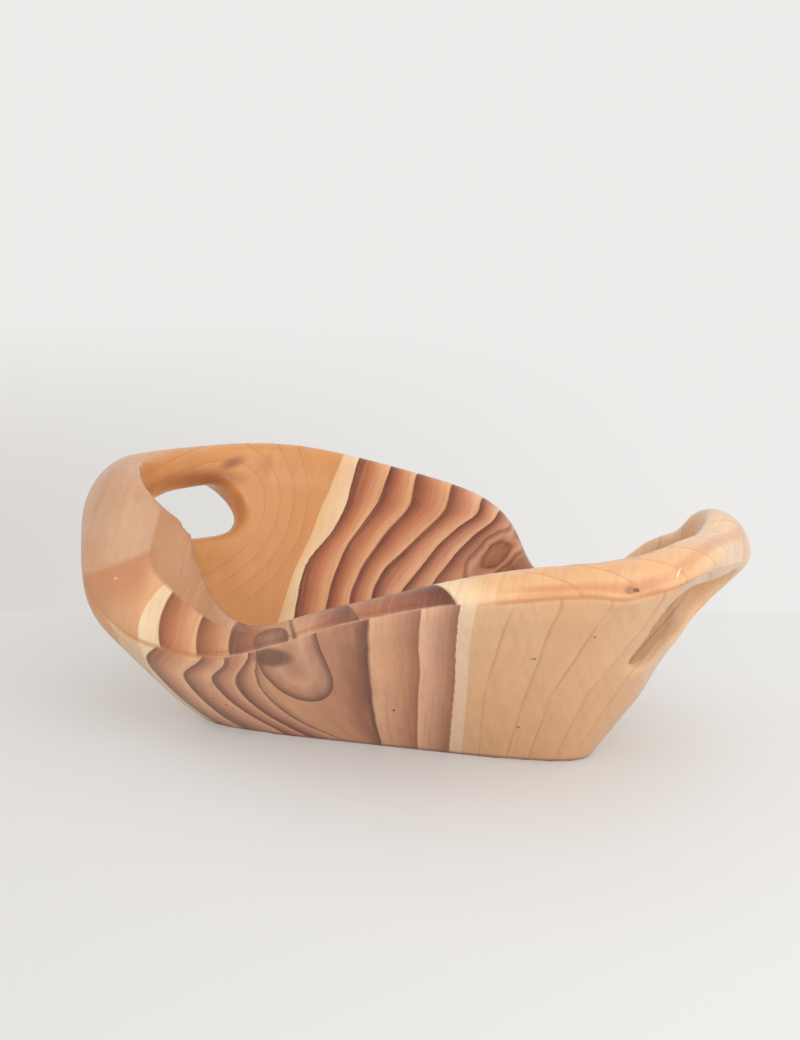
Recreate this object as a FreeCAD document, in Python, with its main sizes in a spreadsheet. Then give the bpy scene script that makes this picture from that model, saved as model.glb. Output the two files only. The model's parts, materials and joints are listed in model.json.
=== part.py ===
import FreeCAD, Part
import math
import os
import Sketcher

# Oval open bowl with a flat foot, flared walls, a thick wavy rim and a hand hole under a bar at each end.
# Millimetres. X runs from handle to handle, +Y is the far wall, +Z is up.
# The origin is on the table, under the middle of the foot.

DOC = FreeCAD.newDocument("HandledBowl")

# One row for each upright section, anticlockwise from the right handle: turn round the oval,
# height of the outer ridge, height of the inner crest, width of the rim, belly of the outer wall.
STATIONS = [
    (0, 110, 136, 27, 1),
    (7.5, 108, 134, 27, 1),
    (15, 104, 130, 26, 1),
    (30, 90, 112, 24, 2),
    (45, 72, 92, 20, 2),
    (60, 56, 70, 16, 1),
    (75, 76, 91, 15, 1),
    (90, 97, 112, 15, 1),
    (105, 107, 121, 15, 1),
    (120, 116, 130, 16, 1),
    (135, 119, 135, 20, 1),
    (150, 119, 137, 26, 1),
    (165, 120, 142, 28, 2),
    (172.5, 120, 145, 29, 3),
    (180, 119, 147, 31, 5),
    (187.5, 116, 145, 33, 7),
    (195, 111, 140, 37, 8),
    (210, 89, 120, 43, 9),
    (225, 61, 92, 39, 7),
    (240, 56, 70, 26, 4),
    (255, 71, 80, 19, 1),
    (270, 92, 99, 15, 1),
    (285, 108, 116, 16, 1),
    (300, 113, 128, 18, 1),
    (315, 117, 132, 22, 1),
    (330, 118, 136, 26, 1),
    (345, 114, 134, 27, 1),
    (352.5, 112, 136, 27, 1),
]

SIZES = {
    "base_half_length": 105.0,
    "base_half_depth": 46.0,
    "base_taper": 0.38,
    "base_corner_power": 4.2,
    "rim_half_length": 207.5,
    "rim_half_depth": 151.0,
    "rim_corner_power": 2.7,
    "rim_shift": 5.0,
    "rim_level": 130.0,
    "wall_thickness": 8.0,
    "waist_share": 0.6,
    "floor_thickness": 9.0,
    "cove_height": 20.0,
    "cove_reach": 26.0,
    "cove_sink": 1.5,
    "rim_bulge": 0.2,
    "floor_inset": 14.0,
    "hole_length": 116.0,
    "left_hole_height": 32.0,
    "right_hole_height": 40.0,
    "left_hole_level": 99.0,
    "right_hole_level": 87.0,
    "hole_reach": 172.0,
    "left_hole_offset": 34.0,
    "right_hole_offset": -34.0,
    "hole_turn": 25.0,
    "grip_end_inset": 7.0,
    "grip_cut_depth": 55.0,
    "seam_slope": 0.4,
    "seam_margin": 14.0,
    "clearance_box": 300.0,
}
for index, (turn, ridge, crest, width, belly) in enumerate(STATIONS):
    SIZES["ridge_height_%02d" % index] = float(ridge)
    SIZES["crest_height_%02d" % index] = float(crest)
    SIZES["rim_width_%02d" % index] = float(width)
    SIZES["wall_belly_%02d" % index] = float(belly)

sheet = DOC.addObject("Spreadsheet::Sheet", "Sizes")
for row, (alias, value) in enumerate(SIZES.items(), start=1):
    sheet.set("A%d" % row, alias)
    sheet.set("B%d" % row, repr(value))
    sheet.setAlias("B%d" % row, alias)
DOC.recompute()


def size(alias):
    """Value of one cell of the sheet."""
    return float(sheet.get(alias))


def plane(body, role):
    """Origin plane of a body, by its role."""
    for feature in body.Origin.OriginFeatures:
        if feature.Role == role:
            return feature
    raise ValueError(role)


def new_body(label):
    """Empty body with its own label."""
    body = DOC.addObject("PartDesign::Body", label)
    body.Label = label
    return body


def new_sketch(body, name, role):
    """Sketch lying on one of the body's origin planes."""
    sketch = body.newObject("Sketcher::SketchObject", name)
    sketch.AttachmentSupport = [(plane(body, role), "")]
    sketch.MapMode = "FlatFace"
    return sketch


def bind(sketch, kind, *args):
    """Add a dimension whose last argument is an expression on the sheet."""
    *where, start, expression = args
    number = sketch.addConstraint(Sketcher.Constraint(kind, *where, start))
    sketch.setExpression("Constraints[%d]" % number, expression)


def oval_terms(turn, power_alias):
    """Direction terms of an oval between an ellipse and a rectangle, as numbers and as expressions."""
    cosine = round(math.cos(math.radians(turn)), 9)
    sine = round(math.sin(math.radians(turn)), 9)
    power = size(power_alias)
    radius = (abs(cosine) ** power + abs(sine) ** power) ** (-1 / power)
    radius_text = "((%.9f ^ Sizes.%s + %.9f ^ Sizes.%s) ^ (-1 / Sizes.%s))" % (
        abs(cosine), power_alias, abs(sine), power_alias, power_alias)
    cosine_text = "(%.9f) * %s" % (cosine, radius_text)
    sine_text = "(%.9f) * %s" % (sine, radius_text)
    return cosine * radius, sine * radius, cosine_text, sine_text


def station_frame(turn):
    """Foot point, heading and outward reach of one station, as numbers and as expressions."""
    bx, by, bx_text, by_text = oval_terms(turn, "base_corner_power")
    tx, ty, tx_text, ty_text = oval_terms(turn, "rim_corner_power")
    foot_x = bx * size("base_half_length") * (1 - size("base_taper") * by / 2)
    foot_y = by * size("base_half_depth")
    top_x = tx * size("rim_half_length") + size("rim_shift")
    top_y = ty * size("rim_half_depth")
    foot_x_text = "Sizes.base_half_length * %s * (1 - Sizes.base_taper * %s / 2)" % (bx_text, by_text)
    foot_y_text = "Sizes.base_half_depth * %s" % by_text
    run_x_text = "(Sizes.rim_half_length * %s + Sizes.rim_shift - %s)" % (tx_text, foot_x_text)
    run_y_text = "(Sizes.rim_half_depth * %s - %s)" % (ty_text, foot_y_text)
    return {
        "foot": (foot_x, foot_y),
        "heading": math.degrees(math.atan2(top_y - foot_y, top_x - foot_x)),
        "reach": math.hypot(top_x - foot_x, top_y - foot_y),
        "foot_x_text": foot_x_text,
        "foot_y_text": foot_y_text,
        "heading_text": "atan2(%s; %s)" % (run_y_text, run_x_text),
        "reach_text": "hypot(%s; %s)" % (run_x_text, run_y_text),
    }


def station_sketch(body, name, frame):
    """Upright sketch at a station: its x runs outward from the foot point and its y runs up."""
    sketch = new_sketch(body, name, "XZ_Plane")
    place = FreeCAD.Placement()
    place.Base = FreeCAD.Vector(frame["foot"][0], 0, -frame["foot"][1])
    place.Rotation = FreeCAD.Rotation(FreeCAD.Vector(0, 1, 0), frame["heading"])
    sketch.AttachmentOffset = place
    sketch.setExpression("AttachmentOffset.Base.x", "1 mm * " + frame["foot_x_text"])
    sketch.setExpression("AttachmentOffset.Base.z", "-1 mm * " + frame["foot_y_text"])
    sketch.setExpression("AttachmentOffset.Rotation.Angle", frame["heading_text"])
    return sketch


def circle_centre(first, second, third):
    """Centre of the circle through three points."""
    ax, ay = second[0] - first[0], second[1] - first[1]
    bx, by = third[0] - first[0], third[1] - first[1]
    scale = 2 * (ax * by - ay * bx)
    first_square = ax * ax + ay * ay
    second_square = bx * bx + by * by
    return (
        first[0] + (by * first_square - ay * second_square) / scale,
        first[1] + (ax * second_square - bx * first_square) / scale,
    )


def section_points(index, frame):
    """Named points of the wall section at one station."""
    lean = frame["reach"] / size("rim_level")
    thick = size("wall_thickness") * math.hypot(1, lean)
    ridge = size("ridge_height_%02d" % index)
    knee = size("floor_thickness") + size("cove_height")
    waist = knee + (ridge - knee) * size("waist_share")
    return {
        "foot": (0.0, 0.0),
        "ridge": (lean * ridge, ridge),
        "crest": (lean * ridge - size("rim_width_%02d" % index), size("crest_height_%02d" % index)),
        "waist": (lean * waist - thick, waist),
        "knee": (lean * knee - thick, knee),
        "toe": (-size("cove_reach"), size("floor_thickness") - size("cove_sink")),
    }


def line(start, end):
    return Part.LineSegment(FreeCAD.Vector(*start, 0), FreeCAD.Vector(*end, 0))


def three_point_arc(start, middle, end):
    return Part.Arc(*[FreeCAD.Vector(*point, 0) for point in (start, middle, end)])


def bowed_arc(start, end, bulge):
    """Arc from start to end that bows to the right of its chord by bulge times the chord."""
    chord = (end[0] - start[0], end[1] - start[1])
    middle = (
        start[0] + chord[0] / 2 + chord[1] * bulge,
        start[1] + chord[1] / 2 - chord[0] * bulge,
    )
    return three_point_arc(start, middle, end)


def cove_arc(crest, waist, knee, toe):
    """Arc from the knee to the toe that carries on smoothly from the inner wall."""
    centre = circle_centre(crest, waist, knee)
    radial = (knee[0] - centre[0], knee[1] - centre[1])
    heading = math.atan2(-abs(radial[0]), -abs(radial[1]))
    chord = math.atan2(toe[1] - knee[1], toe[0] - knee[0])
    return bowed_arc(knee, toe, math.tan((chord - heading) / 2) / 2)


def wall_section(body, index, turn):
    """Section of foot, wall and rim at one station."""
    frame = station_frame(turn)
    points = section_points(index, frame)
    foot, ridge, crest = points["foot"], points["ridge"], points["crest"]
    waist, knee, toe = points["waist"], points["knee"], points["toe"]
    ridge_cell = "Sizes.ridge_height_%02d" % index
    crest_cell = "Sizes.crest_height_%02d" % index
    width_cell = "Sizes.rim_width_%02d" % index
    belly_cell = "Sizes.wall_belly_%02d" % index
    belly = size("wall_belly_%02d" % index)
    wall_length = math.hypot(*ridge)
    sketch = station_sketch(body, "WallSection%02d" % index, frame)
    guide = sketch.addGeometry(line((0, 0), (frame["reach"], size("rim_level"))), True)
    outer = sketch.addGeometry(bowed_arc(foot, ridge, belly / wall_length), False)
    top = sketch.addGeometry(bowed_arc(ridge, crest, size("rim_bulge")), False)
    inner = sketch.addGeometry(three_point_arc(crest, waist, knee), False)
    cove = sketch.addGeometry(cove_arc(crest, waist, knee, toe), False)
    edge = sketch.addGeometry(line(toe, (toe[0], 0)), False)
    under = sketch.addGeometry(line((toe[0], 0), foot), False)
    middle = sketch.addGeometry(Part.Point(FreeCAD.Vector(*waist, 0)), True)
    foot_at, outer_at = arc_ends(sketch, outer, foot)
    ridge_at, crest_at = arc_ends(sketch, top, ridge)
    upper_at, lower_at = arc_ends(sketch, inner, crest)
    knee_at, toe_at = arc_ends(sketch, cove, knee)
    join = Sketcher.Constraint
    sketch.addConstraint([
        join("Coincident", guide, 1, -1, 1),
        join("Coincident", outer, foot_at, -1, 1),
        join("Coincident", outer, outer_at, top, ridge_at),
        join("Coincident", top, crest_at, inner, upper_at),
        join("Tangent", inner, lower_at, cove, knee_at),
        join("Coincident", cove, toe_at, edge, 1),
        join("Coincident", edge, 2, under, 1),
        join("Coincident", under, 2, -1, 1),
        join("Vertical", edge),
        join("Horizontal", under),
        join("PointOnObject", outer, outer_at, guide),
        join("PointOnObject", middle, 1, inner),
    ])
    width = ridge[0] - crest[0]
    bow = size("rim_bulge")
    knee_text = "(Sizes.floor_thickness + Sizes.cove_height)"
    wall_text = "hypot(%s; %s * %s / Sizes.rim_level)" % (ridge_cell, frame["reach_text"], ridge_cell)
    bind(sketch, "DistanceX", guide, 1, guide, 2, frame["reach"], frame["reach_text"])
    bind(sketch, "DistanceY", guide, 1, guide, 2, size("rim_level"), "Sizes.rim_level")
    bind(sketch, "DistanceY", -1, 1, outer, outer_at, ridge[1], ridge_cell)
    bind(sketch, "DistanceY", -1, 1, top, crest_at, crest[1], crest_cell)
    bind(sketch, "DistanceX", top, crest_at, outer, outer_at, width, width_cell)
    bind(sketch, "Radius", outer, wall_length ** 2 / (8 * belly) + belly / 2,
         "%s ^ 2 / (8 * %s) + %s / 2" % (wall_text, belly_cell, belly_cell))
    bind(sketch, "Radius", top, math.hypot(width, crest[1] - ridge[1]) * (1 / (8 * bow) + bow / 2),
         "hypot(%s; %s - %s) * (1 / (8 * Sizes.rim_bulge) + Sizes.rim_bulge / 2)" % (
             width_cell, crest_cell, ridge_cell))
    bind(sketch, "DistanceY", -1, 1, middle, 1, waist[1],
         "%s + (%s - %s) * Sizes.waist_share" % (knee_text, ridge_cell, knee_text))
    bind(sketch, "Distance", middle, 1, guide, size("wall_thickness"), "Sizes.wall_thickness")
    bind(sketch, "DistanceY", -1, 1, inner, lower_at, knee[1], knee_text)
    bind(sketch, "Distance", inner, lower_at, guide, size("wall_thickness"), "Sizes.wall_thickness")
    bind(sketch, "DistanceX", edge, 1, -1, 1, size("cove_reach"), "Sizes.cove_reach")
    bind(sketch, "DistanceY", -1, 1, edge, 1, toe[1], "Sizes.floor_thickness - Sizes.cove_sink")
    return sketch


def arc_ends(sketch, arc, first):
    """Position codes of an arc's two ends, the one at the given point first."""
    start = sketch.getPoint(arc, 1)
    gap = math.hypot(start.x - first[0], start.y - first[1])
    return (1, 2) if gap < 1e-6 else (2, 1)


def half_loft(body, name, sections):
    """Solid lofted through the sections of one half of the bowl, from handle to handle."""
    loft = body.newObject("PartDesign::AdditiveLoft", name)
    loft.Profile = sections[0]
    loft.Sections = sections[1:]
    loft.Closed = False
    loft.Ruled = False
    for section in sections:
        section.Visibility = False
    return loft


def ring_loft(body, name, section_maker):
    """Far half, then near half, through one section for each station."""
    sections = [section_maker(body, index, row[0]) for index, row in enumerate(STATIONS)]
    middle = [row[0] for row in STATIONS].index(180)
    half_loft(body, "Far" + name, sections[:middle + 1])
    return half_loft(body, "Near" + name, sections[middle:] + sections[:1])


def seam_section(body, index, turn):
    """Section of the cutter that parts the rim roll from the wall, along a slope down from the ridge."""
    frame = station_frame(turn)
    points = section_points(index, frame)
    ridge, crest = points["ridge"], points["crest"]
    margin = size("seam_margin")
    slope = size("seam_slope")
    outer_x = ridge[0] + margin
    inner_x = crest[0] - margin
    top_y = crest[1] + margin
    corners = [
        (outer_x, ridge[1] + slope * margin),
        (outer_x, top_y),
        (inner_x, top_y),
        (inner_x, ridge[1] - slope * (ridge[0] - inner_x)),
    ]
    sketch = station_sketch(body, "SeamSection%02d" % index, frame)
    for number in range(4):
        sketch.addGeometry(line(corners[number], corners[(number + 1) % 4]), False)
    join = Sketcher.Constraint
    sketch.addConstraint([join("Coincident", number, 2, (number + 1) % 4, 1) for number in range(4)])
    sketch.addConstraint([join("Vertical", 0), join("Horizontal", 1), join("Vertical", 2)])
    ridge_cell = "Sizes.ridge_height_%02d" % index
    crest_cell = "Sizes.crest_height_%02d" % index
    width_cell = "Sizes.rim_width_%02d" % index
    ridge_x = "%s * %s / Sizes.rim_level" % (frame["reach_text"], ridge_cell)
    bind(sketch, "DistanceX", -1, 1, 0, 1, outer_x, "%s + Sizes.seam_margin" % ridge_x)
    bind(sketch, "DistanceY", -1, 1, 0, 1, corners[0][1],
         "%s + Sizes.seam_slope * Sizes.seam_margin" % ridge_cell)
    bind(sketch, "DistanceY", -1, 1, 0, 2, top_y, "%s + Sizes.seam_margin" % crest_cell)
    bind(sketch, "DistanceX", 3, 1, 0, 1, outer_x - inner_x, "%s + 2 * Sizes.seam_margin" % width_cell)
    bind(sketch, "DistanceY", 3, 1, 0, 1, slope * (outer_x - inner_x),
         "Sizes.seam_slope * (%s + 2 * Sizes.seam_margin)" % width_cell)
    return sketch


def floor_outline(body):
    """Flat floor inside the foot of the wall, wider at the near side."""
    half_length = size("base_half_length") - size("floor_inset")
    half_depth = size("base_half_depth") - size("floor_inset")
    taper = size("base_taper") / 2 * half_depth / size("base_half_depth")
    near = half_length * (1 + taper)
    far = half_length * (1 - taper)
    corners = [(-near, -half_depth), (near, -half_depth), (far, half_depth), (-far, half_depth)]
    sketch = new_sketch(body, "FloorOutline", "XY_Plane")
    for number in range(4):
        sketch.addGeometry(line(corners[number], corners[(number + 1) % 4]), False)
    join = Sketcher.Constraint
    sketch.addConstraint([join("Coincident", number, 2, (number + 1) % 4, 1) for number in range(4)])
    sketch.addConstraint([join("Symmetric", 0, 1, 0, 2, -2), join("Symmetric", 2, 1, 2, 2, -2)])
    half_length_text = "(Sizes.base_half_length - Sizes.floor_inset)"
    half_depth_text = "(Sizes.base_half_depth - Sizes.floor_inset)"
    taper_text = "Sizes.base_taper / 2 * %s / Sizes.base_half_depth" % half_depth_text
    bind(sketch, "DistanceX", 0, 1, 0, 2, 2 * near, "2 * %s * (1 + %s)" % (half_length_text, taper_text))
    bind(sketch, "DistanceX", 2, 2, 2, 1, 2 * far, "2 * %s * (1 - %s)" % (half_length_text, taper_text))
    bind(sketch, "DistanceY", 0, 1, -1, 1, half_depth, half_depth_text)
    bind(sketch, "DistanceY", -1, 1, 2, 1, half_depth, half_depth_text)
    return sketch


def hole_outline(body, name, end, side):
    """Round-ended outline of a hand hole, on an upright plane turned towards the wall it pierces."""
    radius = size(end + "_hole_height") / 2
    straight = size("hole_length") - 2 * radius
    half = straight / 2
    sketch = new_sketch(body, name, "YZ_Plane")
    place = FreeCAD.Placement()
    place.Base = FreeCAD.Vector(size(end + "_hole_offset"), size(end + "_hole_level"), side * size("hole_reach"))
    place.Rotation = FreeCAD.Rotation(FreeCAD.Vector(0, 1, 0), -size("hole_turn"))
    sketch.AttachmentOffset = place
    sketch.setExpression("AttachmentOffset.Base.x", "1 mm * Sizes.%s_hole_offset" % end)
    sketch.setExpression("AttachmentOffset.Base.y", "1 mm * Sizes.%s_hole_level" % end)
    sketch.setExpression("AttachmentOffset.Base.z", "%d mm * Sizes.hole_reach" % side)
    sketch.setExpression("AttachmentOffset.Rotation.Angle", "-Sizes.hole_turn")
    bottom = sketch.addGeometry(line((-half, -radius), (half, -radius)), False)
    right = sketch.addGeometry(three_point_arc((half, -radius), (half + radius, 0), (half, radius)), False)
    top = sketch.addGeometry(line((half, radius), (-half, radius)), False)
    left = sketch.addGeometry(three_point_arc((-half, radius), (-half - radius, 0), (-half, -radius)), False)
    join = Sketcher.Constraint
    sketch.addConstraint([
        join("Tangent", bottom, 2, right, 1),
        join("Tangent", right, 2, top, 1),
        join("Tangent", top, 2, left, 1),
        join("Tangent", left, 2, bottom, 1),
        join("Symmetric", right, 3, left, 3, -1, 1),
        join("PointOnObject", right, 3, -1),
    ])
    bind(sketch, "Radius", right, radius, "Sizes.%s_hole_height / 2" % end)
    bind(sketch, "DistanceX", bottom, 1, bottom, 2, straight,
         "Sizes.hole_length - Sizes.%s_hole_height" % end)
    return sketch


def hand_hole(body, name, sketch):
    """Hole through the wall at one end of the bowl, cut both ways from its sketch."""
    pocket = body.newObject("PartDesign::Pocket", name)
    pocket.Profile = sketch
    pocket.Midplane = True
    pocket.setExpression("Length", "2 * Sizes.grip_cut_depth")
    sketch.Visibility = False
    return pocket


def grip_block(name, end, side):
    """Box over one hand hole, turned with it, that takes the grip out of the rest."""
    block = DOC.addObject("Part::Box", name)
    block.Placement.Rotation = FreeCAD.Rotation(FreeCAD.Vector(0, 0, 1), -size("hole_turn"))
    block.setExpression("Length", "2 mm * Sizes.grip_cut_depth")
    block.setExpression("Width", "1 mm * (Sizes.hole_length - 2 * Sizes.grip_end_inset)")
    block.setExpression("Height", "1 mm * Sizes.clearance_box")
    depth = "Sizes.grip_cut_depth"
    half = "(Sizes.hole_length / 2 - Sizes.grip_end_inset)"
    turned = "Sizes.hole_turn * 1 deg"
    block.setExpression("Placement.Rotation.Angle", "-Sizes.hole_turn")
    block.setExpression(
        "Placement.Base.x",
        "1 mm * (%d * Sizes.hole_reach - %s * cos(%s) - %s * sin(%s))" % (side, depth, turned, half, turned))
    block.setExpression(
        "Placement.Base.y",
        "1 mm * (Sizes.%s_hole_offset + %s * sin(%s) - %s * cos(%s))" % (end, depth, turned, half, turned))
    block.setExpression("Placement.Base.z", "1 mm * Sizes.%s_hole_level" % end)
    return block


def bound_box(name, sizes, corner):
    """Box whose lengths and corner are expressions on the sheet."""
    box = DOC.addObject("Part::Box", name)
    for label, expression in zip(("Length", "Width", "Height"), sizes):
        box.setExpression(label, "1 mm * (%s)" % expression)
    for label, expression in zip("xyz", corner):
        box.setExpression("Placement.Base." + label, "1 mm * (%s)" % expression)
    return box


def combine(kind, name, base, tool):
    """Common or Cut of two objects."""
    result = DOC.addObject("Part::" + kind, name)
    result.Label = name
    result.Base = base
    result.Tool = tool
    return result


full_form = new_body("full_form")
ring_loft(full_form, "Wall", wall_section)
floor = full_form.newObject("PartDesign::Pad", "Floor")
floor.Profile = floor_outline(full_form)
floor.setExpression("Length", "Sizes.floor_thickness")
DOC.recompute()
solid_volume = full_form.Shape.Volume
left_outline = hole_outline(full_form, "LeftHoleOutline", "left", -1)
hand_hole(full_form, "LeftHole", left_outline)
DOC.recompute()
left_volume = full_form.Shape.Volume
right_outline = hole_outline(full_form, "RightHoleOutline", "right", 1)
hand_hole(full_form, "RightHole", right_outline)
DOC.recompute()
right_volume = full_form.Shape.Volume
if not right_volume < left_volume < solid_volume:
    raise RuntimeError("a hand hole removed nothing")

seam_form = new_body("seam_form")
ring_loft(seam_form, "Seam", seam_section)

left_block = grip_block("left_block", "left", -1)
right_block = grip_block("right_block", "right", 1)
near_block = bound_box(
    "near_block",
    ("2 * Sizes.clearance_box", "Sizes.clearance_box", "Sizes.clearance_box"),
    ("-Sizes.clearance_box", "-Sizes.clearance_box", "0"),
)

left_handle = combine("Common", "left_handle", full_form, left_block)
right_handle = combine("Common", "right_handle", full_form, right_block)
without_left = combine("Cut", "without_left", full_form, left_block)
without_grips = combine("Cut", "without_grips", without_left, right_block)
bowl_shell = combine("Cut", "bowl_shell", without_grips, seam_form)
rim_pair = combine("Common", "rim_pair", without_grips, seam_form)
near_rim = combine("Common", "near_rim", rim_pair, near_block)
far_rim = combine("Cut", "far_rim", rim_pair, near_block)
DOC.recompute()

for thing in DOC.Objects:
    if "Invalid" in thing.State or "Error" in thing.State:
        raise RuntimeError("%s: %s" % (thing.Name, thing.State))

os.makedirs("parts", exist_ok=True)
for node in (bowl_shell, left_handle, right_handle, near_rim, far_rim):
    shape = node.Shape
    if shape.isNull() or not shape.isValid():
        raise RuntimeError("bad shape in " + node.Label)
    if len(shape.Solids) != 1:
        raise RuntimeError("%s has %d solids" % (node.Label, len(shape.Solids)))
    shape.exportStep("parts/%s.step" % node.Label)
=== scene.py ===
import json
import math

import bpy
import numpy as np
from bpy.props import FloatProperty, FloatVectorProperty, IntProperty, PointerProperty
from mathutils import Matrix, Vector

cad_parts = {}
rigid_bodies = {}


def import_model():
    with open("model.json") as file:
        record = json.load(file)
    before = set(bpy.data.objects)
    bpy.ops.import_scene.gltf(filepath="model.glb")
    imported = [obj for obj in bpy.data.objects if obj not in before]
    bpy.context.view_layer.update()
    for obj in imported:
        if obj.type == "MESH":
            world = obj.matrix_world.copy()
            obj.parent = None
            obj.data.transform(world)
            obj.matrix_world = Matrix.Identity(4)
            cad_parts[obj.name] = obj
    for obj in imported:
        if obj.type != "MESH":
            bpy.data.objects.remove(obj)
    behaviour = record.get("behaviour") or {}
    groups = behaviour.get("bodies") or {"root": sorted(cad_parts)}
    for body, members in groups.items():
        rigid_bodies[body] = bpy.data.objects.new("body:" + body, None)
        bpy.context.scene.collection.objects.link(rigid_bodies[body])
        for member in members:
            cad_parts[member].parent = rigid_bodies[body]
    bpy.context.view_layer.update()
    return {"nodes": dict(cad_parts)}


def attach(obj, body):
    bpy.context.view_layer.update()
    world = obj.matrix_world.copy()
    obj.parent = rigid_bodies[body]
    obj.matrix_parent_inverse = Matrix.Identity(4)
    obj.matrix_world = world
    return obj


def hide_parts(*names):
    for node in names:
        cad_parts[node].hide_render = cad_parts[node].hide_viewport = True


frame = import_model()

bl_info = {
    "name": "Painted Grain Bowl",
    "version": (1, 0, 0),
    "blender": (4, 5, 0),
    "location": "View3D > Sidebar > Bowl",
    "description": "A glazed ceramic bowl painted as wood, with a wavy rim and two hand holes",
    "category": "Object",
}

BOWL_NODES = ("bowl_shell", "left_handle", "right_handle", "near_rim", "far_rim")

# Shape of the bowl, in millimetres, as in the solid model.
FOOT_HALF_LENGTH = 105.0
FOOT_HALF_DEPTH = 46.0
FOOT_TAPER = 0.38
FOOT_POWER = 4.2
RIM_HALF_LENGTH = 207.5
RIM_HALF_DEPTH = 151.0
RIM_POWER = 2.7
RIM_SHIFT = 5.0
RIM_LEVEL = 130.0

# Turn round the oval in degrees, height of the outer ridge, height of the inner crest, width of the rim.
RIM_STATIONS = (
    (0, 110, 136, 27), (7.5, 108, 134, 27), (15, 104, 130, 26), (30, 90, 112, 24), (45, 72, 92, 20),
    (60, 56, 70, 16), (75, 76, 91, 15), (90, 97, 112, 15), (105, 107, 121, 15), (120, 116, 130, 16),
    (135, 119, 135, 20), (150, 119, 137, 26), (165, 120, 142, 28), (172.5, 120, 145, 29),
    (180, 119, 147, 31), (187.5, 116, 145, 33), (195, 111, 140, 37), (210, 89, 120, 43),
    (225, 61, 92, 39), (240, 56, 70, 26), (255, 71, 80, 19), (270, 92, 99, 15), (285, 108, 116, 16),
    (300, 113, 128, 18), (315, 117, 132, 22), (330, 118, 136, 26), (345, 114, 134, 27),
    (352.5, 112, 136, 27),
)

# Painted boundaries between the grain bands, from left to right, each as (height, x) in millimetres.
# Number 0 is where cream gives way to brown on the left, number 7 where brown gives way to cream.
NEAR_EDGES = (
    ((0, -112), (20, -128), (45, -150), (60, -146), (75, -158)),
    ((0, -100), (8, -107), (18, -116), (30, -125), (41, -131), (50, -131), (55, -124), (60, -118)),
    ((0, -82), (10, -92), (22, -101), (33, -107), (41, -108.5), (45, -105), (49, -97), (56, -90)),
    ((0, -57), (5, -62), (14, -73), (25, -83), (36, -89), (42, -90), (47, -84), (52, -77)),
    ((0, -42), (7, -53), (17, -64), (28, -72), (38, -75), (46, -72), (54, -65), (60, -60)),
    ((0, -19), (5, -31), (9, -39), (16, -49), (28, -57), (40, -61), (50, -60), (60, -56), (75, -50)),
    ((0, 0), (20, 2), (40, 5.5), (60, 10.5), (80, 16.5), (95, 19)),
    ((0, 20.5), (20, 26), (40, 31.5), (60, 37), (80, 42), (100, 47.5), (110, 50)),
    ((0, 38.5), (20, 45), (40, 50.8), (60, 56.5), (80, 61.5), (100, 67), (112, 71)),
    ((0, 45.5), (20, 52), (40, 57.5), (60, 63), (80, 68), (100, 74.5), (112, 79)),
    ((0, 56), (49, 69), (96, 89), (112, 98)),
    ((0, 71), (41, 88), (94, 111), (112, 121)),
    ((0, 83), (51, 105), (94, 132), (114, 146)),
    ((0, 97), (51, 123), (96, 156), (116, 169)),
    ((0, 106), (60, 142), (117, 184)),
    ((0, 114), (60, 158), (117, 210)),
)
FAR_EDGES = (
    ((0, -98), (40, -100), (60, -99), (77, -94.5), (102, -87.5), (125, -80.5)),
    ((0, -88), (42, -93), (57, -94), (65, -93), (72, -90), (85, -80), (100, -74), (124, -71)),
    ((0, -70), (44, -75.5), (60, -74.5), (77, -70), (91, -61), (102, -54), (119, -49.5)),
    ((0, -56), (46, -61), (52, -62), (65, -59), (81, -50), (94, -40), (102, -33), (116, -32)),
    ((0, -46), (54, -49), (66, -44), (80, -30), (90, -20), (100, -10), (109, -9)),
    ((0, -30), (55, -30), (67, -21), (80, -12.5), (92, 0), (99, 10), (102, 12.5)),
    ((0, -14), (50, -16), (62, -10), (77, 0), (90, 12), (99, 24)),
    ((0, 2), (50, 2), (62, 6), (75, 15), (90, 28), (100, 38)),
    ((0, 56), (40, 70), (70, 86), (100, 104)),
    ((0, 66), (40, 82), (70, 100), (100, 118)),
    ((0, 76), (40, 94), (70, 114), (100, 132)),
    ((0, 88), (40, 108), (70, 130), (100, 148)),
    ((0, 100), (40, 124), (70, 147), (100, 166)),
    ((0, 112), (40, 139), (70, 163), (100, 183)),
    ((0, 122), (40, 154), (70, 179), (100, 200)),
    ((0, 132), (40, 168), (70, 195), (100, 216)),
)

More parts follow.
